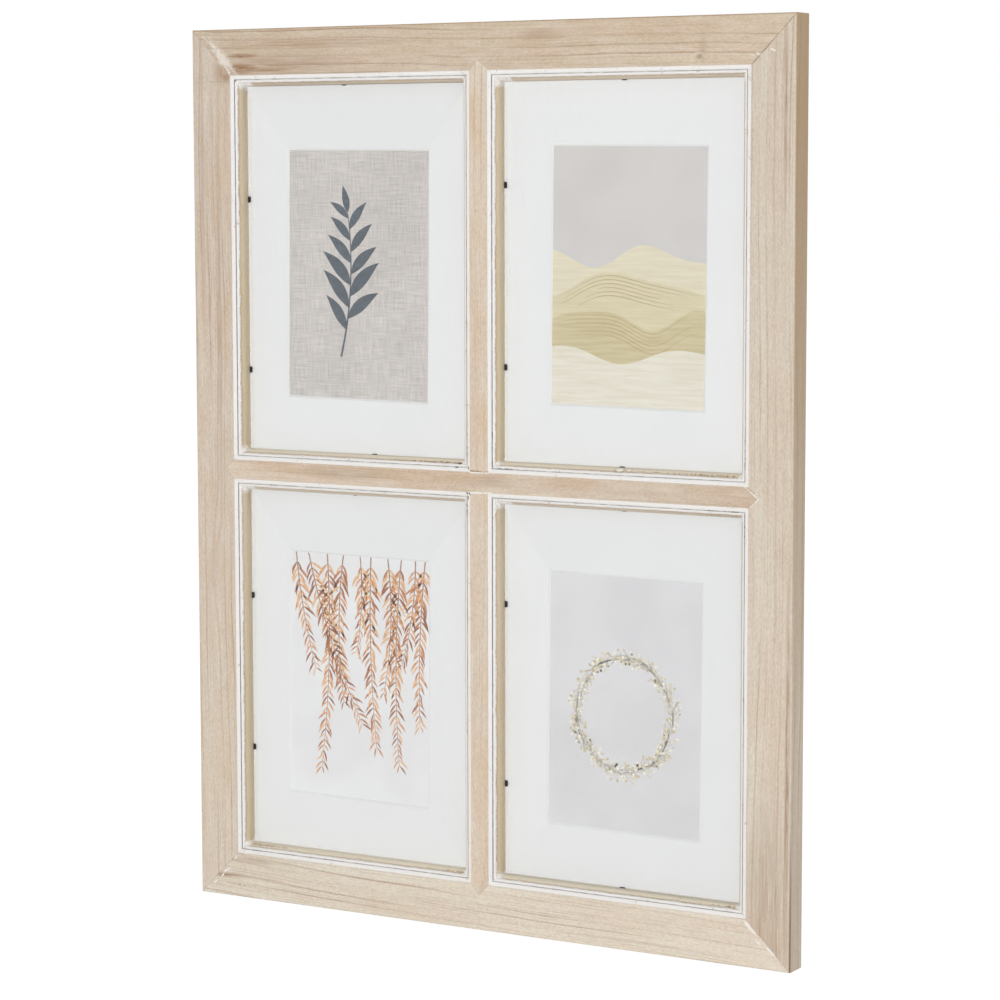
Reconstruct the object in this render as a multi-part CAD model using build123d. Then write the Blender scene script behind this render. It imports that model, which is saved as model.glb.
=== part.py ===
from build123d import *
import os

# Collage photo frame: a mitred wooden frame with two muntins that cross, and in each of its four
# windows a clear pane, a bevel-cut mat, a print and a backing board, held between metal points.
# Lengths are in millimetres. X runs across the frame and Z runs up. Y runs from the front to the
# wall: the back plane is y = 0 and the front faces lie at y = -frame_depth. The origin is the
# middle of the back plane.

# Overall size
frame_width = 410
frame_height = 540
frame_depth = 16

# Flat front faces of the members, and the rounding of the outer arrises
rail_flat = 28
muntin_flat = 12
arris_round = 0.8

# Moulding round each window: how far it reaches in from the flat, and how deep it drops before the
# straight wall begins. The rows below are (share of the reach, share of the drop).
moulding_width = 6.5
moulding_drop = 6
outer_band_shares = ((0, 0.07), (0.2, 0.09), (0.37, 0.18))
groove_shares = ((0.385, 0.33), (0.44, 0.33))
inner_band_shares = ((0.455, 0.17), (0.58, 0.21), (0.7, 0.4))
slope_shares = ((0.7, 0.4), (0.9, 0.64), (1, 1))

# Pack in each window, from the front: metal points, pane, mat, print, board, flexible points
stop_depth = 8.9
stop_thickness = 0.4
pane_thickness = 1
mat_thickness = 1.2
print_thickness = 0.25
board_thickness = 2.5
pane_clearance = 0.1
board_corner_round = 1.5

# Opening cut in each mat, measured at its back, and the part of the print that the mat covers
picture_width = 100
picture_height = 150
print_overlap = 1

# How far each mat's opening sits off the middle, as shares of the mat's side and end borders, and how
# far the openings and the prints are turned, in degrees, clockwise from the front
mat_shift_shares = {
    "upper_left": (0, -0.08),
    "upper_right": (0.09, -0.04),
    "lower_left": (-0.02, -0.05),
    "lower_right": (0.02, -0.08),
}
opening_turn = 0.6

# Black metal points in front of the panes: how far they stand out of each wall, and where. Places on
# the side walls are shares of the height from the top, and on the end walls of the width from the left.
stop_width = 3.8
stop_embedded = 9
stop_reach = {"left": 1.8, "right": 1.3, "top": 0.6, "bottom": 0.6}
stop_tip_round = 0.9
stop_shares = {
    "upper_left": {"left": (0.31, 0.78), "right": (0.3, 0.77), "top": (0.45,), "bottom": (0.58,)},
    "upper_right": {"left": (0.27, 0.75), "right": (0.28, 0.75), "top": (0.505,), "bottom": (0.5,)},
    "lower_left": {"left": (0.3, 0.73), "right": (0.29, 0.74), "top": (0.49,), "bottom": ()},
    "lower_right": {"left": (0.27, 0.755), "right": (0.28, 0.76), "top": (0.51,), "bottom": (0.505,)},
}

# Flexible points behind the boards
flex_width = 5.5
flex_embedded = 8
flex_reach = 6
flex_thickness = 0.4
flex_tip_round = 2.2
flex_shares = {"left": (0.25, 0.75), "right": (0.25, 0.75), "top": (0.5,), "bottom": (0.5,)}

# V-nails driven into the joints from the back
nail_leg = 4
nail_sheet = 0.6
nail_height = 7
nail_sink = 0.4
corner_nail_shares = (0.3, 0.68)

# Hangers on the back of the stiles: a strap with a rolled eye, a D-shaped ring and one screw each
hanger_drop = 95
strap_width = 11
strap_sheet = 1
ring_wire = 2.2
ring_clearance = 0.1
ring_width = 18
ring_corner = 3
ring_side = 2
ring_butt_gap = 0.4
screw_below_eye = 8.2
screw_head_diameter = 6.4
screw_head_height = 2
screw_head_round = 0.9
screw_shank_diameter = 3
screw_length = 11
screw_hole_clearance = 0.2
strap_end_margin = 2.3
recess_length = 3.6
recess_width = 0.8
recess_depth = 1

# Cuts run past the faces that they cut by this much
overrun = 1

# Worked out from the sizes above
member_width = rail_flat + moulding_width
muntin_half = muntin_flat / 2 + moulding_width
sight_width = frame_width / 2 - member_width - muntin_half
sight_height = frame_height / 2 - member_width - muntin_half
lap_y = -frame_depth / 2
stop_y = stop_depth - frame_depth
pane_y = stop_y + stop_thickness
mat_y = pane_y + pane_thickness
print_y = mat_y + mat_thickness
board_y = print_y + print_thickness
flex_y = board_y + board_thickness
eye_radius = ring_wire / 2 + ring_clearance
eye_y = eye_radius + strap_sheet

windows = {"upper_left": (-1, 1), "upper_right": (1, 1), "lower_left": (-1, -1), "lower_right": (1, -1)}
wall_turn = {"left": 0, "right": 180, "top": 90, "bottom": -90}


def block(low, high):
    """Box between two corners."""
    low, high = Vector(*low), Vector(*high)
    size = high - low
    return Pos(*((low + high) / 2)) * Box(*size)


def prism(points, y_low, y_high):
    """Solid over an outline of (x, z) points, from one depth to another."""
    outline = Polyline(*[(x, y_low, z) for x, z in points], close=True)
    return extrude(make_face(outline), amount=y_high - y_low, dir=(0, 1, 0))


def moulding_edges(flat_edge, side):
    """Section of one moulding, from the edge of the flat down to the back, towards x * side."""

    def at(shares):
        reach_share, drop_share = shares
        return (flat_edge + side * moulding_width * reach_share, moulding_drop * drop_share - frame_depth)

    foot = (flat_edge + side * moulding_width, 0)
    return [
        Line((flat_edge, -frame_depth), at(outer_band_shares[0])),
        ThreePointArc(*[at(row) for row in outer_band_shares]),
        Polyline(at(outer_band_shares[-1]), *[at(row) for row in groove_shares], at(inner_band_shares[0])),
        ThreePointArc(*[at(row) for row in inner_band_shares]),
        ThreePointArc(*[at(row) for row in slope_shares]),
        Line(at(slope_shares[-1]), foot),
    ]


def side_member(length):
    """Stile or rail that stands on end, its outer edge at x = 0 and its moulding towards +x."""
    edges = moulding_edges(rail_flat, 1)
    edges.append(Polyline((member_width, 0), (0, 0), (0, -frame_depth), (rail_flat, -frame_depth)))
    blank = extrude(make_face(edges), amount=length / 2, both=True)
    arrises = blank.edges().filter_by(Axis.Z).group_by(Axis.X)[0]
    blank = fillet(arrises, arris_round)
    beyond = member_width + overrun
    plan = [
        (-overrun, length / 2 + overrun),
        (beyond, length / 2 - beyond),
        (beyond, muntin_half + overrun),
        (member_width - muntin_half, 0),
        (beyond, -muntin_half - overrun),
        (beyond, beyond - length / 2),
        (-overrun, -length / 2 - overrun),
    ]
    return blank & prism(plan, -frame_depth - overrun, overrun)


def muntin(length):
    """Muntin that stands on end, with pointed ends. Length is from wall to wall of the window."""
    edges = moulding_edges(muntin_flat / 2, 1) + moulding_edges(-muntin_flat / 2, -1)
    edges.append(Line((-muntin_flat / 2, -frame_depth), (muntin_flat / 2, -frame_depth)))
    edges.append(Line((-muntin_half, 0), (muntin_half, 0)))
    tip = length / 2 + muntin_half
    blank = extrude(make_face(edges), amount=tip, both=True)
    beyond = muntin_half + overrun
    plan = [
        (0, tip),
        (beyond, tip - beyond),
        (beyond, beyond - tip),
        (0, -tip),
        (-beyond, beyond - tip),
        (-beyond, tip - beyond),
    ]
    return blank & prism(plan, -frame_depth - overrun, overrun)


def crossed_muntins():
    """Vertical and horizontal muntin, halved together where they cross, mouldings mitred in front."""
    vertical = muntin(frame_height - 2 * member_width)
    horizontal = Rot(0, 90, 0) * muntin(frame_width - 2 * member_width)
    front = (-frame_depth - overrun, lap_y)
    flat, beyond = muntin_flat / 2, muntin_half + overrun
    upper = [(-flat, flat), (flat, flat), (beyond, beyond), (-beyond, beyond)]
    lower = [(x, -z) for x, z in upper]
    crossing = [lower[3], lower[0], lower[1], lower[2], upper[2], upper[1], upper[0], upper[3]]
    housing = block((-muntin_half, lap_y, -beyond), (muntin_half, overrun, beyond))
    vertical -= prism(crossing, *front)
    horizontal -= prism(upper, *front)
    horizontal -= prism(lower, *front)
    horizontal -= housing
    return {"vertical_muntin": vertical, "horizontal_muntin": horizontal}


def wooden_members():
    """The six sticks of the frame, in place."""
    stile, rail = side_member(frame_height), side_member(frame_width)
    members = {
        "left_stile": Pos(-frame_width / 2, 0, 0) * stile,
        "right_stile": Pos(frame_width / 2, 0, 0) * Rot(0, 180, 0) * stile,
        "top_rail": Pos(0, 0, frame_height / 2) * Rot(0, 90, 0) * rail,
        "bottom_rail": Pos(0, 0, -frame_height / 2) * Rot(0, -90, 0) * rail,
    }
    members.update(crossed_muntins())
    return members


def window_middle(window):
    """Middle of a window's sight opening, as (x, z)."""
    side, level = windows[window]
    return side * (muntin_half + sight_width / 2), level * (muntin_half + sight_height / 2)


def on_wall(window, wall, share):
    """Place on a window's wall whose local +x points into the window."""
    x, z = window_middle(window)
    if wall in ("left", "right"):
        x += sight_width / 2 if wall == "right" else -sight_width / 2
        z += sight_height * (1 / 2 - share)
    else:
        x += sight_width * (share - 1 / 2)
        z += sight_height / 2 if wall == "top" else -sight_height / 2
    return Pos(x, 0, z) * Rot(0, wall_turn[wall], 0)


def metal_point(width, embedded, reach, thickness, tip_round, y):
    """Flat metal point in the wall at x = 0, with its tip towards +x."""
    outline = [(-embedded, -width / 2), (reach, -width / 2), (reach, width / 2), (-embedded, width / 2)]
    strip = prism(outline, y, y + thickness)
    tips = strip.edges().filter_by(Axis.Y).sort_by(Axis.X)[-2:]
    return fillet(tips, tip_round)


def stop_points(window):
    """Black points that the pane rests against."""
    points = []
    for wall, shares in stop_shares[window].items():
        reach = stop_reach[wall]
        point = metal_point(stop_width, stop_embedded, reach, stop_thickness, stop_tip_round, stop_y)
        points += [on_wall(window, wall, share) * point for share in shares]
    return points


def flexible_points(window):
    """Bendable points that press on the back of the board."""
    points = []
    for wall, shares in flex_shares.items():
        point = metal_point(flex_width, flex_embedded, flex_reach, flex_thickness, flex_tip_round, flex_y)
        points += [on_wall(window, wall, share) * point for share in shares]
    return points


def sheet(middle, width, height, y, thickness):
    """Rectangular sheet that faces the front, its front face at y."""
    x, z = middle
    low = (x - width / 2, y, z - height / 2)
    high = (x + width / 2, y + thickness, z + height / 2)
    return block(low, high)


def picture_place(window):
    """Place of the opening in a window's mat: its middle, and its small turn."""
    x, z = window_middle(window)
    side_share, end_share = mat_shift_shares[window]
    x += side_share * (sight_width - picture_width) / 2
    z += end_share * (sight_height - picture_height) / 2
    return Pos(x, 0, z) * Rot(0, opening_turn, 0)


def bevel_cutter():
    """Tapered block that cuts a mat's opening with a bevel of 45 degrees, wider at the front."""
    faces = []
    for y, grow in ((mat_y - overrun, mat_thickness + overrun), (print_y + overrun, -overrun)):
        plane = Plane(origin=(0, y, 0), x_dir=(1, 0, 0), z_dir=(0, 1, 0))
        faces.append(plane * Rectangle(picture_width + 2 * grow, picture_height + 2 * grow))
    return loft(faces, ruled=True)


def window_pack(window):
    """Pane, mat, print and backing board of one window."""
    middle, place = window_middle(window), picture_place(window)
    width, height = sight_width - 2 * pane_clearance, sight_height - 2 * pane_clearance
    print_width, print_height = picture_width + 2 * print_overlap, picture_height + 2 * print_overlap
    board = sheet(middle, width, height, board_y, board_thickness)
    return {
        window + "_pane": sheet(middle, width, height, pane_y, pane_thickness),
        window + "_mat": sheet(middle, width, height, mat_y, mat_thickness) - place * bevel_cutter(),
        window + "_print": place * sheet((0, 0), print_width, print_height, print_y, print_thickness),
        window + "_backing_board": fillet(board.edges().filter_by(Axis.Y), board_corner_round),
    }


def v_nail(x, z, side, level, y_high):
    """V-nail with its bend at (x, z) and its legs towards -side and -level."""
    half = nail_sheet / 2
    outer = [(-nail_leg, half), (half, half), (half, -nail_leg)]
    inner = [(-half, -nail_leg), (-half, -half), (-nail_leg, -half)]
    outline = [(x + side * across, z + level * up) for across, up in outer + inner]
    return prism(outline, -nail_sink - nail_height, y_high)


def corner_nails(y_high):
    """V-nails along the mitre of each corner."""
    nails = []
    for side, level in windows.values():
        for share in corner_nail_shares:
            x = side * (frame_width / 2 - share * member_width)
            z = level * (frame_height / 2 - share * member_width)
            nails.append(v_nail(x, z, side, level, y_high))
    return nails


def muntin_nails(y_high):
    """V-nails across both sides of each muntin's pointed end."""
    nails = []
    x_end = frame_width / 2 - member_width + muntin_half / 2
    z_end = frame_height / 2 - member_width + muntin_half / 2
    for side, level in windows.values():
        nails.append(v_nail(side * muntin_half / 2, level * z_end, side, -level, y_high))
        nails.append(v_nail(side * x_end, level * muntin_half / 2, -side, level, y_high))
    return nails


def strap(x, z):
    """Hanger strap: a plate with a rolled eye at its top, round the ring's straight bar."""
    foot = z - screw_below_eye - screw_head_diameter / 2 - strap_end_margin
    plate = block((x - strap_width / 2, 0, foot), (x + strap_width / 2, strap_sheet, z))
    corners = plate.edges().filter_by(Axis.Y).sort_by(Axis.Z)[:2]
    plate = fillet(corners, strap_end_margin)
    along = Pos(x, eye_y, z) * Rot(0, 90, 0)
    body = plate + along * Cylinder(eye_radius + strap_sheet, strap_width)
    body -= along * Cylinder(eye_radius, strap_width + 2 * overrun)
    hole = Cylinder(screw_shank_diameter / 2 + screw_hole_clearance, strap_sheet + 2 * overrun)
    return body - Pos(x, strap_sheet / 2, z - screw_below_eye) * Rot(90, 0, 0) * hole


def ring(x, z):
    """D-shaped wire ring that hangs from the eye, its ends butted inside the eye."""
    half, bar = ring_width / 2, ring_width / 2 - ring_corner
    straight = Line((ring_butt_gap / 2, 0), (bar, 0))
    corner = JernArc(start=(bar, 0), tangent=(1, 0), radius=ring_corner, arc_size=-90)
    side = Line((half, -ring_corner), (half, -ring_corner - ring_side))
    bow = JernArc(start=side @ 1, tangent=(0, -1), radius=half, arc_size=-180)
    other_side = Line((-half, -ring_corner - ring_side), (-half, -ring_corner))
    other_corner = JernArc(start=other_side @ 1, tangent=(0, 1), radius=ring_corner, arc_size=-90)
    end = Line((-bar, 0), (-ring_butt_gap / 2, 0))
    path = Wire([straight, corner, side, bow, other_side, other_corner, end])
    wire = sweep(Plane(origin=straight @ 0, z_dir=(1, 0, 0)) * Circle(ring_wire / 2), path)
    return Pos(x, eye_y, z) * Rot(90, 0, 0) * wire


def screw(x, z):
    """Pan-head wood screw with a cross recess, driven through the strap into the stile."""
    head = Cylinder(screw_head_diameter / 2, screw_head_height)
    head = fillet(head.edges().group_by(Axis.Z)[-1], screw_head_round)
    head = Pos(0, 0, screw_head_height / 2) * head
    for length, width in ((recess_length, recess_width), (recess_width, recess_length)):
        head -= Pos(0, 0, screw_head_height) * Box(length, width, 2 * recess_depth)
    shank = Pos(0, 0, -screw_length / 2) * Cylinder(screw_shank_diameter / 2, screw_length)
    return Pos(x, strap_sheet, z - screw_below_eye) * Rot(-90, 0, 0) * (head + shank)


def one_solid(shape):
    """The single solid of a shape, so that a piece never comes apart unseen."""
    solids = shape.solids()
    if len(solids) != 1:
        raise ValueError(f"{len(solids)} solids where one piece was expected")
    return solids[0]


def build():
    """All nodes by name, each a list of solids."""
    nodes = {}
    points = {window + "_stop_points": stop_points(window) for window in windows}
    points.update({window + "_flexible_points": flexible_points(window) for window in windows})
    hanger_x, hanger_z = frame_width / 2 - member_width / 2, frame_height / 2 - hanger_drop
    screws = [screw(side * hanger_x, hanger_z) for side in (-1, 1)]

    cutters = [point for group in points.values() for point in group]
    cutters += corner_nails(overrun) + muntin_nails(overrun) + screws
    for name, member in wooden_members().items():
        nodes[name] = [member - cutters]
    for window in windows:
        nodes.update({name: [piece] for name, piece in window_pack(window).items()})
    nodes.update(points)
    nodes["corner_v_nails"] = corner_nails(-nail_sink)
    nodes["muntin_v_nails"] = muntin_nails(-nail_sink)
    for name, side in (("left", -1), ("right", 1)):
        nodes[name + "_hanger_strap"] = [strap(side * hanger_x, hanger_z)]
        nodes[name + "_hanger_ring"] = [ring(side * hanger_x, hanger_z)]
    nodes["hanger_screws"] = screws
    return nodes


def write(nodes):
    """One STEP file for each node."""
    os.makedirs("parts", exist_ok=True)
    for name, pieces in nodes.items():
        solids = [one_solid(piece) for piece in pieces]
        shape = solids[0] if len(solids) == 1 else Compound(children=solids)
        export_step(shape, f"parts/{name}.step")


write(build())
print(f"sight opening {sight_width:.1f} x {sight_height:.1f}, eye centre y {eye_y:.2f}")
print(f"pane {pane_y:.2f}, mat {mat_y:.2f}, print {print_y:.2f}, board {board_y:.2f}, points {flex_y:.2f}")
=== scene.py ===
import math
import random

import bmesh
import bpy
from mathutils import Matrix, Vector


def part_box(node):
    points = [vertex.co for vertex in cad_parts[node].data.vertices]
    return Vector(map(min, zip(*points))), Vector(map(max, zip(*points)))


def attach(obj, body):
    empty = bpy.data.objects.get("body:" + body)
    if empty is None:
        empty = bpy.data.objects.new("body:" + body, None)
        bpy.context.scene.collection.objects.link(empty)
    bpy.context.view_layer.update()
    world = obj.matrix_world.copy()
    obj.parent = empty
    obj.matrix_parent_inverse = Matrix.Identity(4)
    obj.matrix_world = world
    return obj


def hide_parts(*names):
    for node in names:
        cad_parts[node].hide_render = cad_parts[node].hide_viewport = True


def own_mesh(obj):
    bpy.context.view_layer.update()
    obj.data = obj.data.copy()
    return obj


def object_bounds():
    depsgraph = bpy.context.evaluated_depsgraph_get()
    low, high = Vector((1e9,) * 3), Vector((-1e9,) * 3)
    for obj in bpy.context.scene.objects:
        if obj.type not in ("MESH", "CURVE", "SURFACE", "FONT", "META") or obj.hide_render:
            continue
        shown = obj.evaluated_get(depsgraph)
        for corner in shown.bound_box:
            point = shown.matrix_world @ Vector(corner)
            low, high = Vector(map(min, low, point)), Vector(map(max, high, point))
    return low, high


# Looks of the collage photo frame: wood, paint, filler, cards, panes, metal and four generic prints.
# Lengths are in millimetres unless a name ends in _m. X runs across the frame as seen from the front,
# Z runs up and Y runs from the front to the wall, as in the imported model.

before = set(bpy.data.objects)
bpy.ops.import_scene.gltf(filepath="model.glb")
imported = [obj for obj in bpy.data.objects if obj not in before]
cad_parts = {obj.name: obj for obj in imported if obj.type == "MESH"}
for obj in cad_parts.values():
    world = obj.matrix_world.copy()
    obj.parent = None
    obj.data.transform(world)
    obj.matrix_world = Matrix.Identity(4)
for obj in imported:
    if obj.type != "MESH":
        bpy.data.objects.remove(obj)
cad_low, cad_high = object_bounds()

MM = 0.001

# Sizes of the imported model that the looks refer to
frame_half_width = 205
frame_half_height = 270
frame_depth = 16
muntin_flat_half = 6
side_flat_edge = 177
end_flat_edge = 242
moulding_width = 6.5
wall_inner = muntin_flat_half + moulding_width
wall_side = side_flat_edge - moulding_width
wall_end = end_flat_edge - moulding_width
window_middle_x = (muntin_flat_half + side_flat_edge) / 2
window_middle_z = (muntin_flat_half + end_flat_edge) / 2
muntin_tip = 183
muntin_reach = 248
print_front = -4.5
picture_width = 100
picture_height = 150
picture_turn = math.radians(0.6)

# In from a flat: the groove, where the bare slope begins, where the paint ends, and past the wall
groove_inset = 2.68
slope_inset = 4.4
paint_inset = 4.5
past_wall = 9
# Paint and slope go down to this depth behind the front, past the front of the panes
paint_depth = 13

# Flexible points behind the boards
flex_width = 5.5
flex_embedded = 8
flex_reach = 6
flex_thickness = 0.4
flex_tip_round = 2.2
flex_front = -1.75
flex_side_shares = (0.25, 0.75)
flex_end_share = 0.5

windows = {"upper_left": (-1, 1), "upper_right": (1, 1), "lower_left": (-1, -1), "lower_right": (1, -1)}


def srgb(red, green, blue):
    """Colour written as in the photograph, 0 to 255, as linear values."""
    shares = [value / 255 for value in (red, green, blue)]
    linear = [s / 12.92 if s <= 0.04045 else ((s + 0.055) / 1.055) ** 2.4 for s in shares]
    return (*linear, 1)


class Field:
    """A number or vector that varies over a surface, held by the output of a node."""

    def __init__(self, tree, socket):
        self.tree = tree
        self.socket = socket

    def math(self, operation, *others):
        node = self.tree.nodes.new("ShaderNodeMath")
        node.operation = operation
        for place, value in enumerate((self, *others)):
            feed(self.tree, node.inputs[place], value)
        return Field(self.tree, node.outputs[0])

    def __add__(self, other):
        return self.math("ADD", other)

    def __sub__(self, other):
        return self.math("SUBTRACT", other)

    def __mul__(self, other):
        return self.math("MULTIPLY", other)

    def __truediv__(self, other):
        return self.math("DIVIDE", other)

    def __abs__(self):
        return self.math("ABSOLUTE")

    def power(self, exponent):
        return self.math("POWER", exponent)

    def least(self, *others):
        result = self
        for other in others:
            result = result.math("MINIMUM", other)
        return result

    def most(self, *others):
        result = self
        for other in others:
            result = result.math("MAXIMUM", other)
        return result

    def ramp(self, zero_at, one_at):
        """Smooth step that is 0 at one value and 1 at the other."""
        node = self.tree.nodes.new("ShaderNodeMapRange")
        node.interpolation_type = "SMOOTHSTEP"
        feed(self.tree, node.inputs["Value"], self)
        feed(self.tree, node.inputs["From Min"], zero_at)
        feed(self.tree, node.inputs["From Max"], one_at)
        return Field(self.tree, node.outputs["Result"])

    def inverted(self):
        return self * -1 + 1


def feed(tree, socket, value):
    """Link a field to a socket, or set a plain value on it."""
    if isinstance(value, Field):
        tree.links.new(value.socket, socket)
    else:
        socket.default_value = value


def distance(across, up):
    """Length of a flat vector with these two parts."""
    return (across * across + up * up).math("SQRT")


class Surface:
    """A material's node tree, with the place on the part in millimetres as fields x, y and z."""

    def __init__(self, name, roughness=0.5):
        self.material = bpy.data.materials.new(name)
        self.material.use_nodes = True
        self.tree = self.material.node_tree
        self.shader = self.tree.nodes["Principled BSDF"]
        self.shader.inputs["Roughness"].default_value = roughness
        coordinates = self.tree.nodes.new("ShaderNodeTexCoord")
        scaled = self.tree.nodes.new("ShaderNodeVectorMath")
        scaled.operation = "SCALE"
        scaled.inputs["Scale"].default_value = 1 / MM
        self.tree.links.new(coordinates.outputs["Object"], scaled.inputs[0])
        parts = self.tree.nodes.new("ShaderNodeSeparateXYZ")
        self.tree.links.new(scaled.outputs[0], parts.inputs[0])
        self.x, self.y, self.z = [Field(self.tree, parts.outputs[axis]) for axis in range(3)]

    def place(self, x, y, z):
        node = self.tree.nodes.new("ShaderNodeCombineXYZ")
        for socket, value in zip(node.inputs, (x, y, z)):
            feed(self.tree, socket, value)
        return Field(self.tree, node.outputs[0])

    def noise(self, x, y, z, seed=0, detail=2, roughness=0.5):
        """Cloud noise from about 0.25 to 0.75, with one swell for each unit of x, y and z."""
        node = self.tree.nodes.new("ShaderNodeTexNoise")
        node.noise_dimensions = "4D"
        feed(self.tree, node.inputs["Vector"], self.place(x, y, z))
        node.inputs["W"].default_value = seed
        node.inputs["Scale"].default_value = 1
        node.inputs["Detail"].default_value = detail
        node.inputs["Roughness"].default_value = roughness
        return Field(self.tree, node.outputs["Fac"])

    def cloud(self, size, seed, detail, roughness=0.5):
        """Noise with swells of one size in all directions."""
        return self.noise(self.x / size, self.y / size, self.z / size, seed, detail, roughness)

    def number(self, value):
        node = self.tree.nodes.new("ShaderNodeValue")
        node.outputs[0].default_value = value
        return Field(self.tree, node.outputs[0])

    def colour(self, value):
        node = self.tree.nodes.new("ShaderNodeRGB")
        node.outputs[0].default_value = value
        return Field(self.tree, node.outputs[0])

    def blend(self, share, first, second, mode="MIX"):
        """Colour that goes from the first to the second as the share goes from 0 to 1."""
        node = self.tree.nodes.new("ShaderNodeMix")
        node.data_type = "RGBA"
        node.blend_type = mode
        feed(self.tree, node.inputs["Factor"], share)
        feed(self.tree, node.inputs[6], first)
        feed(self.tree, node.inputs[7], second)
        return Field(self.tree, node.outputs[2])

    def shade(self, colour, brightness):
        """The colour times a grey field."""
        return self.blend(1.0, colour, self.place(brightness, brightness, brightness), "MULTIPLY")

    def finish(self, colour, roughness=None, height=None):
        """Set the varying colour, roughness and relief. Height is in millimetres."""
        feed(self.tree, self.shader.inputs["Base Color"], colour)
        if roughness is not None:
            feed(self.tree, self.shader.inputs["Roughness"], roughness)
        if height is not None:
            bump = self.tree.nodes.new("ShaderNodeBump")
            bump.inputs["Distance"].default_value = MM
            feed(self.tree, bump.inputs["Height"], height)
            self.tree.links.new(bump.outputs[0], self.shader.inputs["Normal"])
        return self.material


# Strokes on the front: (from x, from z, to x, to z, half width at both ends, cover, how broken it is).
# Filler rubbed into the joints
filler_strokes = (
    (-197.0, 266.0, -188.0, 259.0, 0.3, 0.5, 1.0, 0.0),
    (-191.5, 260.0, -182.0, 251.6, 1.0, 5.4, 0.55, 0.8),
    (-182.0, 251.6, -176.4, 244.4, 5.4, 2.0, 0.55, 0.8),
    (-190.0, 259.0, -177.2, 243.4, 0.7, 1.4, 0.7, 0.5),
    (177.6, 247.3, 178.8, 246.8, 0.7, 0.5, 0.8, 0.0),
    (180.8, 248.3, 182.6, 247.5, 0.7, 0.6, 0.85, 0.0),
    (189.6, 250.2, 191.8, 249.3, 0.7, 0.6, 0.9, 0.0),
    (178.2, 244.4, 198.0, 262.5, 0.25, 0.2, 0.4, 0.7),
    (-178.2, -243.4, -199.0, -265.4, 0.35, 0.25, 0.85, 0.9),
    (-177.6, -241.8, -194.4, -256.8, 0.3, 0.2, 0.45, 0.4),
    (-178.3, -244.6, -179.3, -246.0, 0.8, 0.6, 0.9, 0.1),
    (-183.8, -252.8, -184.9, -253.8, 0.7, 0.6, 1.0, 0.0),
    (-186.2, -254.2, -187.2, -255.2, 0.9, 0.7, 1.0, 0.0),
    (-188.3, -257.2, -189.2, -258.2, 0.9, 0.7, 1.0, 0.0),
    (-194.0, -262.2, -195.4, -263.2, 0.8, 0.6, 1.0, 0.0),
    (177.0, -244.2, 183.4, -250.2, 1.3, 0.9, 1.0, 0.15),
    (183.4, -250.2, 199.0, -265.0, 0.4, 0.3, 0.6, 0.5),
    (191.0, -257.4, 195.0, -260.8, 1.0, 0.8, 1.0, 0.0),
    (184.0, -254.0, 185.8, -255.6, 1.3, 1.0, 0.6, 0.4),
    (174.6, 6.2, 183.2, -0.6, 0.4, 0.45, 1.0, 0.1),
    (183.6, -0.4, 178.2, -5.2, 0.4, 0.3, 0.85, 0.1),
    (180.6, 5.6, 182.4, 2.0, 0.2, 0.2, 0.5, 0.3),
    (-6.2, 5.8, 6.4, 5.9, 0.5, 0.55, 1.0, 0.0),
    (6.4, 5.9, 12.2, 5.4, 0.5, 0.2, 0.8, 0.3),
    (-6.2, -6.3, 9.0, -5.7, 0.75, 0.5, 1.0, 0.0),
    (-5.6, -6.8, -6.9, -10.4, 0.5, 0.5, 0.9, 0.1),
    (6.2, 242.0, -0.6, 248.0, 0.6, 0.3, 0.6, 0.5),
    (-5.3, -241.8, 1.4, -247.0, 0.35, 0.3, 0.5, 0.5),
    (1.4, -247.0, 6.6, -242.3, 0.3, 0.35, 0.5, 0.5),
    (91.8, 11.6, 94.0, 11.6, 1.3, 1.3, 1.0, 0.0),
    (98.6, 11.7, 99.8, 11.7, 0.8, 0.8, 0.9, 0.0),
)

# Brown lines where a joint or the bare wood shows through
brown_strokes = (
    (177.4, 242.0, 204.0, 269.0, 0.65, 0.45, 0.75, 0.25),
    (-177.6, -243.0, -183.6, -249.8, 0.3, 0.3, 0.7, 0.2),
    (-183.6, -249.8, -200.0, -267.0, 0.3, 0.2, 0.5, 0.4),
    (-190.6, -261.4, -178.7, -262.2, 0.3, 0.8, 0.45, 0.3),
    (-178.7, -262.2, -150.0, -263.4, 0.8, 0.3, 0.5, 0.4),
    (-181.0, 246.2, -177.3, 241.0, 0.3, 0.5, 0.5, 0.2),
    (182.0, -250.0, 203.5, -269.5, 0.15, 0.2, 0.5, 0.4),
    (176.8, 4.0, 182.2, -0.4, 0.2, 0.2, 0.7, 0.2),
    (-193.4, 238.4, -178.3, 238.4, 0.3, 0.2, 0.4, 0.3),
    (-188.0, 243.2, -178.0, 240.5, 0.4, 0.8, 0.35, 0.6),
    (-5.8, 6.8, 6.4, 6.7, 0.4, 0.4, 0.95, 0.1),
    (-78.0, 10.8, -13.4, 10.8, 0.1, 0.6, 1.0, 0.4),
    (105.0, 11.3, 168.6, 11.3, 0.0, 0.7, 0.95, 0.5),
    (-40.0, -236.8, -12.8, -236.8, 0.0, 0.5, 0.85, 0.5),
    (145.0, -236.8, 169.8, -236.8, 0.1, 0.6, 0.8, 0.6),
    (91.0, 11.4, 95.0, 11.4, 1.9, 1.9, 0.4, 0.1),
    (98.0, 11.6, 100.4, 11.6, 1.2, 1.2, 0.35, 0.1),
    (-168.0, -236.2, -142.0, -236.2, 0.7, 0.25, 0.7, 0.15),
    (120.0, 10.8, 160.0, 10.8, 0.2, 0.5, 0.5, 0.5),
)

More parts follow.
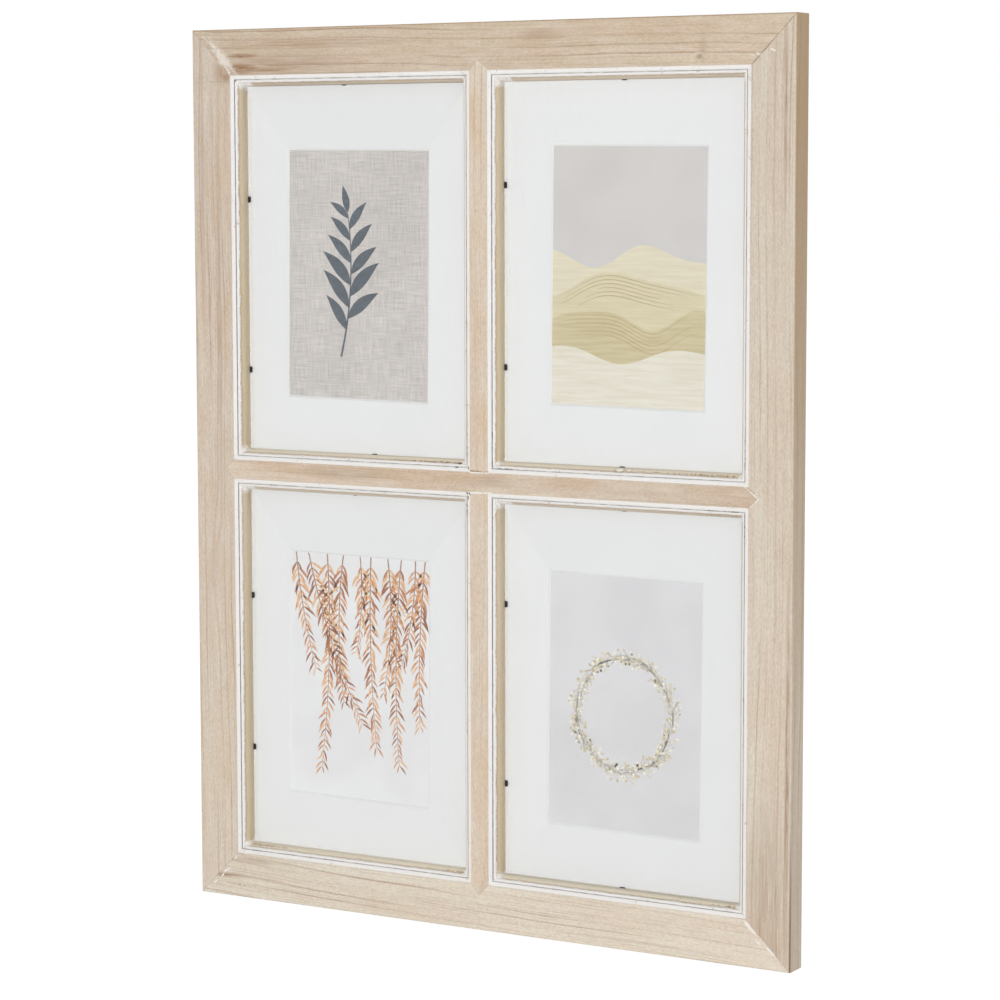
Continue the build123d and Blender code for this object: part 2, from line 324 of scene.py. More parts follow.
# Dark specks of soil in the grooves
dark_strokes = (
    (-14.4, 10.6, -13.8, 10.6, 0.65, 0.65, 1.0, 0.0),
    (-16.2, 8.3, -15.4, 8.3, 0.5, 0.5, 1.0, 0.0),
    (-7.4, 8.8, -7.3, 8.0, 0.55, 0.55, 1.0, 0.0),
    (-8.4, -6.6, -7.9, -6.8, 0.55, 0.55, 1.0, 0.0),
    (-7.7, -8.6, -7.4, -9.8, 0.65, 0.65, 1.0, 0.0),
    (-6.5, -6.7, -6.0, -7.4, 0.55, 0.55, 1.0, 0.0),
    (150.0, -8.7, 172.5, -8.7, 0.2, 0.5, 0.7, 0.7),
    (140.0, -11.4, 168.0, -11.4, 0.2, 0.6, 0.5, 0.7),
    (174.3, -9.0, 174.3, -34.0, 0.5, 0.2, 0.7, 0.6),
    (-168.0, -239.4, -156.0, -239.4, 0.45, 0.2, 0.7, 0.4),
    (174.3, 16.0, 174.3, 40.0, 0.4, 0.3, 0.6, 0.4),
    (-8.4, 12.0, -8.4, 44.0, 0.5, 0.2, 0.7, 0.5),
    (-8.6, -9.0, -8.6, -36.0, 0.7, 0.2, 0.8, 0.7),
    (8.9, 12.0, 8.9, 36.0, 0.3, 0.5, 0.8, 0.3),
    (12.0, 8.9, 40.0, 8.9, 0.5, 0.2, 0.7, 0.3),
    (-173.8, 238.9, -173.4, 238.5, 0.6, 0.6, 0.8, 0.1),
    (-168.6, 234.4, -168.0, 234.0, 0.5, 0.5, 0.6, 0.1),
)


def strokes_on(strokes, box):
    """The strokes that reach a member, which lies in the box (low x, low z, high x, high z)."""
    low_x, low_z, high_x, high_z = box
    reach = 3
    return [
        stroke for stroke in strokes
        if min(stroke[0], stroke[2]) < high_x + reach and max(stroke[0], stroke[2]) > low_x - reach
        and min(stroke[1], stroke[3]) < high_z + reach and max(stroke[1], stroke[3]) > low_z - reach
    ]


def stroke_mask(surface, stroke, ragged, breaks):
    """Cover of one stroke, with a ragged edge."""
    x1, z1, x2, z2, first_width, last_width, cover, broken = stroke
    length = math.hypot(x2 - x1, z2 - z1)
    along_x, along_z = (x2 - x1) / length, (z2 - z1) / length
    from_x, from_z = surface.x - x1, surface.z - z1
    along = from_x * along_x + from_z * along_z
    beside = abs(from_x * along_z - from_z * along_x)
    past_end = (along - length).most(along * -1, 0.0)
    width = along * ((last_width - first_width) / length) + first_width
    edge = width - beside - past_end * 0.6 + ragged * 0.45 - breaks * broken
    return edge.ramp(-0.2, 0.2 + 0.6 * max(first_width, last_width)) * cover


class Moulding:
    """Where a place on the wood lies against the windows, and its covers.

    Inset is how far in it lies from the nearest flat, and corner from the next one. Upright is 1 on a
    window's side mouldings and left_wall on its left one, foot is 1 in a window's lower half and
    right_end in its right half."""

    def __init__(self, surface):
        self.surface = surface
        self.across, self.up = abs(surface.x), abs(surface.z)
        inset_x = (self.across - muntin_flat_half).least(self.across * -1 + side_flat_edge)
        inset_z = (self.up - muntin_flat_half).least(self.up * -1 + end_flat_edge)
        self.inset, self.corner = inset_x.least(inset_z), inset_x.most(inset_z)
        self.depth = surface.y + frame_depth
        self.upright = (inset_z - inset_x).ramp(-0.4, 0.4)
        from_middle_x = surface.x * (self.across * -1 + window_middle_x)
        from_middle_z = surface.z * (self.up * -1 + window_middle_z)
        self.foot = from_middle_z.ramp(-60, 60)
        self.left_wall = self.upright * from_middle_x.ramp(-60, 60)
        self.right_end = from_middle_x.ramp(60, -60)
        self.coarse = surface.cloud(7, 3, 3) - 0.5
        self.fine = surface.cloud(1.3, 5, 3, 0.6) - 0.5
        self.ragged = self.coarse * 2.2 + self.fine * 1.6
        self.worn = (self.coarse * 0.8 + self.fine).ramp(0.17, 0.24)
        self.breaks = surface.noise(surface.x / 1.9, 0.0, surface.z / 1.9, 9, 2, 0.6).ramp(0.46, 0.6) * 1.5
        self.paint_reach = self.upright * 0.3 + self.left_wall * -0.25 + paint_inset + self.ragged * 0.5

    def paint(self):
        """Chalky paint: a band on each moulding that spreads in the corners, worn in places."""
        band = (self.paint_reach - self.inset).ramp(-0.2, 0.25)
        along_rail = self.upright * -6 + 7 - self.right_end * self.upright.inverted() * 9.5
        corner_reach = self.foot.inverted() * along_rail + 7.8
        near_corner = (corner_reach - self.corner + self.coarse * 7 + self.fine * 5).ramp(-1.0, 1.6)
        near_corner = near_corner * (self.fine * 1.6 + 0.9).least(1.0)
        paint = band.most(near_corner) * self.inset.ramp(-0.2, 0.12)
        paint = paint * self.depth.ramp(paint_depth, paint_depth - 1)
        return paint * (self.worn * 0.6).inverted()

    def groove_dirt_and_shade(self):
        """Dirt and painted shade in the groove between the two bands, darker and wider on the left walls
        and faint on the right ones.
        """
        beside = abs(self.inset - self.left_wall * 0.12 - groove_inset)
        groove_dirt_and_shade = beside.ramp(self.left_wall * 0.2 + 0.4, self.left_wall * 0.15 + 0.12)
        groove_dirt_and_shade = groove_dirt_and_shade * (self.coarse * 3 + self.fine * 1.6 + 0.72 + self.left_wall * 0.35).least(1.0)
        return groove_dirt_and_shade * ((self.upright - self.left_wall) * -0.6 + 1)

    def strokes(self, strokes, box):
        """The strokes that reach the member in the box, on its front and its mouldings."""
        cover = self.surface.number(0.0)
        for stroke in strokes_on(strokes, box):
            cover = cover.most(stroke_mask(self.surface, stroke, self.ragged, self.breaks))
        return cover * self.depth.ramp(8, 7) * self.inset.ramp(past_wall, past_wall - 1)

    def joints(self):
        """Fine lines where the members meet on the front."""
        mitre = abs((self.across - side_flat_edge) - (self.up - end_flat_edge)) * math.sqrt(0.5)
        mitre = mitre + self.across.ramp(side_flat_edge, side_flat_edge - 1) * 5
        flat_end = (muntin_flat_half + 0.5, muntin_flat_half + 1.5)
        side_joint = abs(self.across + self.up - muntin_tip) * math.sqrt(0.5)
        side_joint = side_joint + self.up.ramp(*flat_end) * 5
        end_tip = muntin_tip + end_flat_edge - side_flat_edge
        end_joint = abs(self.across + self.up - end_tip) * math.sqrt(0.5)
        end_joint = end_joint + self.across.ramp(*flat_end) * 5
        return mitre.least(side_joint, end_joint).ramp(0.28, 0.08) * self.depth.ramp(3, 1)

    def on_walls(self, cover):
        """The cover, kept to the moulding and its wall."""
        cover = cover * self.inset.ramp(past_wall, past_wall - 1)
        return cover * self.depth.ramp(paint_depth, paint_depth - 1)

    def slope(self):
        """Bare slope between the inner band and the wall."""
        return self.on_walls((self.inset - slope_inset).ramp(0, 0.8))

    def paint_edge(self):
        """Stain along the inner edge of the paint."""
        return self.on_walls(abs(self.inset - self.paint_reach - 0.25).ramp(0.7, 0))


def deepest(tints):
    """The strongest of several tints, or None where there are none."""
    return tints[0].most(*tints[1:]) if tints else None


class Timber:
    """Growth rings, knots and pores of one member, with its grain along x or z.

    The pith is where the tree's middle lies in the member's section, and spacing is that of the growth
    rings. A knot or stain is (along, across, half length, half width, depth of its colour), and the rings
    bend round knots only."""

    def __init__(self, surface, grain, seed, pith, spacing, knots, stains):
        self.surface = surface
        self.seed = seed
        self.along, self.across = (surface.z, surface.x) if grain == "z" else (surface.x, surface.z)
        self.deep = surface.y
        self.fibre = self.noise(9, 0.42, 0.42, 4, 3, 0.6)
        self.fleck = self.noise(2.4, 0.9, 0.9, 5, 3, 0.7)
        self.late, self.lines = self.rings(pith, spacing, knots)
        self.marks = self.knots_and_stains(knots, stains)

    def noise(self, along, across, deep, step, detail, roughness=0.5):
        """Noise with swells this long, wide and deep, its seed a step from the member's own."""
        surface = self.surface
        places = (self.along / along, self.across / across, self.deep / deep)
        return surface.noise(*places, self.seed + step, detail, roughness)

    def away(self, mark):
        """Distance from the middle of a knot or stain, 1 at its outline."""
        along, across, half_length, half_width, _ = mark
        return distance((self.along - along) / half_length, (self.across - across) / half_width)

    def rings(self, pith, spacing, knots):
        """Late wood of each ring, and all the lines that the rings draw."""
        pith_across, pith_deep, lean = pith
        drift = self.noise(260, 70, 70, 0, 1) - 0.5
        wobble = self.noise(55, 16, 16, 1, 2) - 0.5
        radius = distance(self.across - pith_across + self.along * lean, self.deep - pith_deep)
        radius = radius + drift * (spacing * 2.6) + wobble * (spacing * 0.5)
        warps = [self.away(knot).ramp(2.4, 0) for knot in knots]
        if warps:
            warp = warps[0]
            for other in warps[1:]:
                warp = warp + other
            radius = radius + warp * (spacing * 0.8)
        turn = (radius / spacing).math("FRACT")
        late = (turn.ramp(0.5, 0.94) * turn.ramp(1.0, 0.95)).power(3.2) * 1.5
        number = (radius / spacing).math("FLOOR")
        noise = self.surface.noise
        strength = noise(number * 1.7, self.along / 160, 0.0, self.seed + 2, 1).ramp(0.36, 0.72)
        half_turn = (radius / (spacing * 0.42)).math("FRACT")
        thin = (half_turn.ramp(0.55, 0.92) * half_turn.ramp(1.0, 0.93)).power(2) * 1.3
        thin_strength = noise(number * 0.61, self.along / 60, self.across / 9, self.seed + 9, 1)
        return late, (late * strength).most(thin * thin_strength.ramp(0.42, 0.66) * 0.6)

    def knots_and_stains(self, knots, stains):
        """Tint of the knots and stains, or None."""
        streaks = self.noise(20, 0.9, 0.9, 10, 3, 0.6).ramp(0.2, 0.62)
        tints = [self.away(knot).ramp(1.5, 0.1) * knot[-1] for knot in knots]
        tints += [self.away(stain).ramp(1.6, 0.0) * stain[-1] * streaks for stain in stains]
        return deepest(tints)

    def grey(self, end_brightness_and_shade):
        """Brightness of fibres and pores, and of the member from its low end to its high end, which on the
        stiles and the vertical muntin is painted shade that darkens them towards the top.
        """
        low, high = end_brightness_and_shade
        pore = self.noise(1.9, 0.7, 0.7, 6, 2, 0.5)
        grey = (self.fibre - 0.5) * 0.32 + (self.fleck - 0.5) * 0.66 + 1
        grey = grey - pore.ramp(0.6, 0.72) * 0.14 + pore.ramp(0.38, 0.27) * 0.1
        end_share = self.along.ramp(-frame_half_height, frame_half_height)
        return grey * (end_share * (high - low) + low)

    def colour(self, tones, lines, blotches, end_brightness_and_shade):
        """Colour of the whitewashed wood from its light, warm and dark tones."""
        light, warm, dark = tones
        blend = self.surface.blend
        blotch = self.noise(75, 17, 17, 3, 3, 0.55).ramp(0.36, 0.68)
        bands = self.noise(300, 6, 12, 8, 2, 0.5).ramp(0.36, 0.66)
        colour = blend(blotch * blotches, light, warm)
        colour = blend(bands * 0.4, colour, srgb(206, 184, 167))
        colour = blend(self.lines * lines, colour, dark)
        # Fibres, pores and painted shade from end to end set the brightness
        colour = self.surface.shade(colour, self.grey(end_brightness_and_shade))
        wash = self.noise(22, 3.4, 3.4, 7, 4, 0.62).ramp(0.42, 0.7)
        colour = blend(wash * 0.2, colour, srgb(232, 226, 218))
        if self.marks is not None:
            ragged = self.marks * ((self.fleck + self.fibre) * 1.8 - 0.8).most(0.0).least(1.3)
            colour = blend(ragged, colour, srgb(141, 99, 62))
        return colour


def tint_and_shade_sides(surface, colour):
    """Colour with the side faces tinted warm brown, the bare wood's colour with painted shade that darkens
    them towards the top, and the darker lower right arris and back edges of the frame.
    """
    # Warm brown on the outer side faces that grows towards the top: bare wood colour and painted shade
    side_tint_and_shade = surface.z.ramp(-220, 280) * 0.72 + 0.08
    outer = abs(surface.x).most(abs(surface.z) - (frame_half_height - frame_half_width))
    outer = outer.ramp(frame_half_width - 0.8, frame_half_width - 0.2)
    colour = surface.blend(outer * side_tint_and_shade, colour, srgb(166, 132, 84))
    arris = abs(surface.y + (frame_depth - 0.5)).ramp(0.8, 0.2)
    arris = arris * surface.x.ramp(frame_half_width - 1.2, frame_half_width - 0.5)
    arris = arris * surface.z.ramp(-100, -268).power(2)
    colour = surface.blend(arris * 0.9, colour, srgb(100, 80, 60))
    back_edge = outer * surface.y.ramp(-1.4, -0.3)
    return surface.blend(back_edge * 0.5, colour, srgb(122, 108, 76))


def brush_mouldings(surface, colour, timber, box):
    """Colour with the paint and marks of the mouldings and joints, painted light and shade on the bare
    slopes, dirt and painted shade in the grooves, and the covers of paint and joints.
    """
    blend, moulding = surface.blend, Moulding(surface)
    foot, joint, paint = moulding.foot, moulding.joints(), moulding.paint()
    filler, dark = moulding.strokes(filler_strokes, box), moulding.strokes(dark_strokes, box)
    brown = moulding.strokes(brown_strokes, box)
    brown = brown.most(moulding.worn * moulding.depth.ramp(7, 6) * 0.15)
    # Bare slope wood with painted light and shade: lighter on the upward-facing foot slopes, darker and
    # yellower on the left walls
    lit_and_shaded_slope = blend(foot, srgb(207, 195, 177), srgb(229, 219, 198))
    lit_and_shaded_slope = blend(moulding.left_wall, lit_and_shaded_slope, srgb(201, 186, 156))
    colour = blend(moulding.slope() * (foot * 0.2 + 0.65), colour, lit_and_shaded_slope)
    colour = blend(moulding.paint_edge() * (foot * 0.1 + 0.35), colour, srgb(150, 128, 96))
    colour = blend(joint * 0.25, colour, srgb(140, 112, 84))
    grey = (timber.fibre - 0.5) * 0.06 + (timber.fleck - 0.5) * 0.1 + 1
    chalk = surface.shade(surface.colour(srgb(236, 233, 230)), grey)
    soil = surface.cloud(1.1, 11, 3, 0.6).ramp(0.63, 0.7) * moulding.corner.ramp(26, 8)
    chalk = blend(soil * 0.8, chalk, srgb(124, 110, 98))
    # Dirt and painted shade in the groove, strongest on the left walls
    chalk = blend(moulding.groove_dirt_and_shade() * 0.58, chalk, srgb(118, 116, 120))
    colour = blend(paint, colour, chalk)
    colour = blend(brown, colour, srgb(139, 104, 66))
    colour = blend(filler, colour, surface.shade(surface.colour(srgb(242, 238, 231)), grey))
    colour = blend(dark, colour, srgb(84, 76, 70))
    return colour, paint.most(filler), joint


def wood(name, box, grain, seed, pith, spacing, tones, lines, blotches, end_brightness_and_shade, knots=(), stains=()):
    """Whitewashed softwood, painted on the mouldings. Lines and blotches say how strong these are."""
    surface = Surface(name)
    timber = Timber(surface, grain, seed, pith, spacing, knots, stains)
    # The member's colour carries painted shade from end to end and on its side faces
    colour = tint_and_shade_sides(surface, timber.colour(tones, lines, blotches, end_brightness_and_shade))
    colour, paint, joint = brush_mouldings(surface, colour, timber, box)
    roughness = paint * 0.2 + (timber.fibre * 0.12 + 0.55)
    height = timber.fibre * 0.12 + timber.fleck * 0.06 - timber.late * 0.04
    height = height + paint * (timber.fleck * 0.1 + 0.12) - joint * 0.06
    surface.shader.inputs["Specular IOR Level"].default_value = 0.35
    return surface.finish(colour, roughness, height)


def make_woods():
    """A wood for each of the six members, after its look in the photograph."""
    tan, brown = srgb(205, 181, 153), srgb(158, 126, 96)
    left_box = (-frame_half_width, -frame_half_height, -wall_side, frame_half_height)
    right_box = (wall_side, -frame_half_height, frame_half_width, frame_half_height)
    top_box = (-frame_half_width, wall_end, frame_half_width, frame_half_height)
    foot_box = (-frame_half_width, -frame_half_height, frame_half_width, -wall_end)
    tall_box = (-wall_inner, -muntin_reach, wall_inner, muntin_reach)
    wide_box = (-muntin_tip, -wall_inner, muntin_tip, wall_inner)
    # Each member's pair after its blotch strength is its brightness at its low and high end: painted shade
    # that darkens the stiles and the vertical muntin towards the top
    return {
        "left_stile": wood(
            "left_stile_wood", left_box, "z", 21, (-262, 20, 0.002), 4.6,
            (srgb(211, 198, 182), tan, brown), 0.46, 0.6, (1.03, 0.94),
            knots=((240.9, -180.5, 4, 3.6, 0.5), (-60, -192, 26, 3, 0.12)),
            stains=((244.4, -184, 8, 5, 0.5), (100, -186.5, 130, 1.6, 0.4), (180, -198.5, 90, 1.5, 0.35)),
        ),
        "right_stile": wood(
            "right_stile_wood", right_box, "z", 33, (262, 30, -0.002), 4.2,
            (srgb(211, 201, 184), srgb(206, 187, 166), brown), 0.38, 0.5, (1.035, 0.955),
            stains=((-232, 190, 60, 16, 0.4), (-150, 202.4, 110, 1.5, 0.7), (215, 198.5, 60, 1.2, 0.6)),
        ),
        "top_rail": wood(
            "top_rail_wood", top_box, "x", 47, (330, 20, 0.02), 4.6,
            (srgb(204, 188, 165), srgb(194, 171, 144), brown), 0.52, 0.8, (0.955, 1.02),
            knots=((145, 247, 2.2, 1.6, 0.6),),
            stains=(
                (-168, 253.8, 12, 1.5, 1.05), (-168, 246.0, 14, 3.0, 1.2), (-150, 245.0, 26, 1.8, 0.7),
                (-140, 248, 44, 7, 0.45), (40, 262, 14, 3, 0.4), (147, 252, 2.5, 8, 0.3),
                (-120, 260, 60, 2.5, 0.35),
            ),
        ),
        "bottom_rail": wood(
            "bottom_rail_wood", foot_box, "x", 59, (-190, 10, 0.03), 3.8,
            (srgb(219, 210, 194), srgb(212, 199, 179), brown), 0.62, 0.5, (1.0, 1.075),
            stains=((-190, -257, 18, 1.6, 0.9), (-165, -246, 26, 1.8, 0.5)),
        ),
        "vertical_muntin": wood(
            "vertical_muntin_wood", tall_box, "z", 71, (34, 20, 0.002), 3.4,
            (srgb(215, 202, 184), srgb(210, 184, 153), brown), 0.34, 0.75, (1.02, 0.99),
        ),
        "horizontal_muntin": wood(
            "horizontal_muntin_wood", wide_box, "x", 83, (-52, 28, 0.004), 3.8,
            (srgb(214, 200, 180), srgb(202, 176, 148), brown), 0.2, 1.0, (1.035, 0.915),
            stains=((-95, 1, 34, 3.5, 0.45), (8, 1, 16, 3, 0.4)),
        ),
    }


def card():
    """Matt white card of the mats."""
    surface = Surface("mat_card", 0.8)
    cloud = surface.cloud(40, 2, 2)
    tooth = surface.cloud(0.7, 4, 3, 0.6)
    grey = (tooth - 0.5) * 0.03 + (cloud - 0.5) * 0.02 + 1
    colour = surface.shade(surface.colour(srgb(231, 232, 232)), grey)
    surface.shader.inputs["Specular IOR Level"].default_value = 0.25
    return surface.finish(colour, tooth * 0.15 + 0.7, tooth * 0.05)


def clear_pane():
    """Clear pane that lets lamplight through."""
    surface = Surface("clear_pane", 0.02)
    tree, shader = surface.tree, surface.shader
    shader.inputs["Transmission Weight"].default_value = 1
    shader.inputs["IOR"].default_value = 1.45
    smear = surface.cloud(60, 8, 3)
    surface.finish(surface.blend(smear, srgb(253, 254, 254), srgb(250, 251, 251)), smear * 0.03)
    through = tree.nodes.new("ShaderNodeBsdfTransparent")
    mix = tree.nodes.new("ShaderNodeMixShader")
    feed(tree, mix.inputs[0], rays(tree, ("Is Shadow Ray", "Is Diffuse Ray")))
    tree.links.new(shader.outputs[0], mix.inputs[1])
    tree.links.new(through.outputs[0], mix.inputs[2])
    tree.links.new(mix.outputs[0], tree.nodes["Material Output"].inputs[0])
    return surface.material


def hardboard():
    """Brown fibre board, smooth with fine fibres pressed in all ways."""
    surface = Surface("hardboard", 0.6)
    cloud = surface.cloud(55, 1, 3)
    fibre = surface.noise(surface.x / 3.5, surface.y, surface.z / 0.5, 2, 4, 0.65)
    other = surface.noise(surface.x / 0.5, surface.y, surface.z / 3.5, 3, 4, 0.65)
    fibres = fibre.most(other)
    colour = surface.blend(cloud, srgb(150, 112, 78), srgb(131, 95, 64))
    colour = surface.blend(fibres.ramp(0.52, 0.72) * 0.5, colour, srgb(182, 144, 104))
    colour = surface.blend(fibre.least(other).ramp(0.42, 0.3) * 0.5, colour, srgb(92, 64, 43))
    return surface.finish(colour, fibres * 0.3 + 0.4, fibres * 0.06)


def black_steel():
    """Satin black metal with fine scratches."""
    surface = Surface("black_steel", 0.4)
    scratch = surface.cloud(0.3, 6, 3, 0.6)
    colour = surface.blend(scratch.ramp(0.6, 0.75) * 0.4, srgb(26, 27, 30), srgb(84, 84, 88))
    return surface.finish(colour, scratch * 0.3 + 0.25, scratch * 0.01)


def bright_steel():
    """Zinc-plated steel, a little cloudy."""
    surface = Surface("bright_steel", 0.3)
    surface.shader.inputs["Metallic"].default_value = 1
    cloud = surface.cloud(4, 7, 3)
    scratch = surface.noise(surface.x / 0.25, surface.y / 0.25, surface.z / 2, 9, 3, 0.6)
    colour = surface.blend(cloud, srgb(214, 214, 210), srgb(178, 178, 174))
    return surface.finish(colour, cloud * 0.2 + scratch * 0.16 + 0.14, scratch * 0.01)


def paper(window, light, dark, weave=0.0):
    """Matt photo paper of a print, with its printed ground."""
    surface = Surface(f"{window}_paper", 0.6)
    cloud = surface.noise(surface.x / 45, 0.0, surface.z / 45, 12, 2)
    tooth = surface.noise(surface.x / 0.5, 0.0, surface.z / 0.5, 13, 2)
    warp = surface.noise(surface.x / 0.8, 0.0, surface.z / 14, 14, 2, 0.6)
    weft = surface.noise(surface.x / 14, 0.0, surface.z / 0.8, 15, 2, 0.6)
    grey = (warp + weft - 1) * weave + (tooth - 0.5) * 0.03 + 1
    colour = surface.shade(surface.blend(cloud.ramp(0.35, 0.65), light, dark), grey)
    surface.shader.inputs["Specular IOR Level"].default_value = 0.3
    return surface.finish(colour, tooth * 0.1 + 0.5, tooth * 0.01)


def ink(name, colour, other, stretch=(3, 3), streak=0.0):
    """Printed colour with a little unevenness, in streaks where a brush would leave them."""
    surface = Surface(name, 0.6)
    wide, tall = stretch
    cloud = surface.noise(surface.x / wide, 0.0, surface.z / tall, 16, 3, 0.6)
    line = surface.noise(surface.x / 12, 0.0, surface.z / 0.6, 17, 3, 0.6)
    tone = surface.blend(cloud.ramp(0.35, 0.65), colour, other)
    tone = surface.shade(tone, (line - 0.5) * streak + 1)
    surface.shader.inputs["Specular IOR Level"].default_value = 0.3
    return surface.finish(tone, cloud * 0.1 + 0.5, cloud * 0.01)


class Drawing:
    """Flat printed shapes of one colour on one print, all in one thin mesh.

    Shapes are given in the print's own millimetres, from its middle, as seen from the front."""

    layer_step = 0.006
    buried = 0.004

    def __init__(self, window, name, layer, material):
        self.window = window
        self.name = f"{window}_{name}"
        self.front = print_front - self.layer_step * layer
        self.material = material
        self.mesh = bmesh.new()

    def inside(self, point):
        """The point, brought inside the edges of the print."""
        limits = (picture_width / 2 + 0.5, picture_height / 2 + 0.5)
        return [max(-limit, min(limit, value)) for value, limit in zip(point, limits)]

    def pair(self, point):
        """Two points of the mesh, in front and behind, for one point of a shape."""
        across, up = self.inside(point)
        depths = (self.front, print_front + self.buried)
        return [self.mesh.verts.new((across * MM, depth * MM, up * MM)) for depth in depths]

    def strip(self, left, right):
        """Thin solid between two lines with the same number of points."""
        left, right = [self.pair(p) for p in left], [self.pair(p) for p in right]
        for side in (0, 1):
            for n in range(len(left) - 1):
                corners = [left[n][side], left[n + 1][side], right[n + 1][side], right[n][side]]
                self.mesh.faces.new(corners if side == 0 else corners[::-1])
        for line, order in ((left, 1), (right, -1)):
            for n in range(len(line) - 1):
                corners = [line[n][0], line[n][1], line[n + 1][1], line[n + 1][0]]
                self.mesh.faces.new(corners[::order])
        for n, order in ((0, 1), (-1, -1)):
            corners = [left[n][0], right[n][0], right[n][1], left[n][1]]
            self.mesh.faces.new(corners[::order])

    def ribbon(self, points, widths):
        """Stroke along a line of points, as wide at each as the widths say."""
        left, right = [], []
        for n, (x, z) in enumerate(points):
            before, after = points[max(n - 1, 0)], points[min(n + 1, len(points) - 1)]
            way = Vector((after[0] - before[0], after[1] - before[1])).normalized()
            half = widths[n] / 2
            left.append((x - way.y * half, z + way.x * half))
            right.append((x + way.y * half, z - way.x * half))
        self.strip(left, right)

    def leaf(self, x, z, angle, length, width, bend=0.0, fullness=1.0, steps=8):
        """Pointed leaf from its stalk end, towards an angle in radians, bending as it goes."""
        points, widths = [], []
        for n in range(steps + 1):
            share = n / steps
            points.append((x, z))
            widths.append(max(width * math.sin(math.pi * share ** fullness), 0.06))
            heading = angle + bend * share
            x += math.cos(heading) * length / steps
            z += math.sin(heading) * length / steps
        self.ribbon(points, widths)

    def dab(self, x, z, radius, chance, sides=8):
        """Small uneven spot."""
        turn = chance.uniform(0, math.tau)
        reach = [radius * chance.uniform(0.75, 1.15) for _ in range(sides)]
        ring = [
            (x + r * math.cos(turn + math.tau * n / sides), z + r * math.sin(turn + math.tau * n / sides))
            for n, r in enumerate(reach)
        ]
        half = sides // 2
        self.strip(ring[: half + 1], [ring[0]] + ring[:half - 1:-1])

    def finish(self):
        """Put the drawing on its print as a piece that moves with it."""
        bmesh.ops.remove_doubles(self.mesh, verts=self.mesh.verts, dist=1e-7)
        data = bpy.data.meshes.new(self.name)
        self.mesh.to_mesh(data)
        self.mesh.free()
        data.materials.append(self.material)
        low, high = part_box(f"{self.window}_print")
        middle = (low + high) / 2
        place = Matrix.Translation((middle.x, 0, middle.z)) @ Matrix.Rotation(picture_turn, 4, "Y")
        data.transform(place)
        piece = bpy.data.objects.new(self.name, data)
        bpy.context.scene.collection.objects.link(piece)
        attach(piece, f"{self.window}_print")


def curve_points(start, angle, length, bend, steps):
    """Points and headings along a line that turns evenly."""
    x, z = start
    points, headings = [], []
    for n in range(steps + 1):
        heading = angle + bend * n / steps
        points.append((x, z))
        headings.append(heading)
        x += math.cos(heading) * length / steps
        z += math.sin(heading) * length / steps
    return points, headings


def draw_upper_left():
    """Leafy sprig in slate ink."""
    slate = ink("slate_ink", srgb(58, 68, 78), srgb(78, 88, 96), (6, 2), 0.3)
    drawing = Drawing("upper_left", "sprig", 1, slate)
    steps = 26
    points, headings = curve_points((-12, -50), math.radians(76), 88, 0.4, steps)
    drawing.ribbon(points, [1.4 - 0.9 * n / steps for n in range(steps + 1)])
    chance = random.Random(5)
    for n, place in enumerate(range(5, steps, 2)):
        side = 1 if n % 2 else -1
        x, z = points[place]
        angle = headings[place] - side * chance.uniform(0.5, 0.62)
        length = 30 - 13 * abs(place - 11) / 15 + chance.uniform(-1.5, 1.5)
        drawing.leaf(x, z, angle, length, length * 0.27, -side * 0.45, 0.85, 12)
    x, z = points[-1]
    drawing.leaf(x, z, headings[-1], 17, 5.0, 0.15, 0.85, 12)
    drawing.finish()


def hill_height(x, hill):
    """Height of a hill's outline, from its level, swell, length and phase."""
    level, swell, length, phase = hill
    height = level + swell * math.sin(x / length * math.pi + phase)
    return height + swell * 0.35 * math.sin(x / length * 5.3 + phase * 2.3)


def draw_upper_right():
    """Low hills in straw colours."""
    tones = (
        ((222, 214, 190), (214, 204, 176), (12, 5.5, 41, 0.4)),
        ((205, 195, 160), (214, 203, 170), (-4, 6.5, 53, 1.7)),
        ((190, 176, 134), (203, 190, 150), (-24, 5, 37, 3.6)),
        ((226, 221, 207), (217, 209, 190), (-45, 4, 47, 5.0)),
    )
    chance = random.Random(8)
    outline_steps, line_steps = 60, 30
    for layer, (tone, other, hill) in enumerate(tones, 1):
        material = ink(f"straw_ink_{layer}", srgb(*tone), srgb(*other), (30, 2), 0.14)
        drawing = Drawing("upper_right", f"hill_{layer}", layer, material)
        upper, lower = [], []
        for n in range(outline_steps + 1):
            x = (n / outline_steps - 0.5) * (picture_width + 1)
            upper.append((x, hill_height(x, hill)))
            lower.append((x, -picture_height / 2 - 0.5))
        drawing.strip(upper, lower)
        drawing.finish()
    line_ink = ink("ochre_ink", srgb(164, 140, 92), srgb(184, 163, 118), (8, 2))
    drawing = Drawing("upper_right", "furrows", 5, line_ink)
    shares = [n / line_steps for n in range(line_steps + 1)]
    for _, _, hill in tones[1:3]:
        for row in range(6):
            drop = 1.8 + row * 2.3
            start, end = chance.uniform(-46, -20), chance.uniform(15, 46)
            places = [start + (end - start) * share for share in shares]
            points = [(x, hill_height(x, hill) - drop) for x in places]
            drawing.ribbon(points, [0.15 + 0.3 * math.sin(math.pi * share) for share in shares])
    drawing.finish()


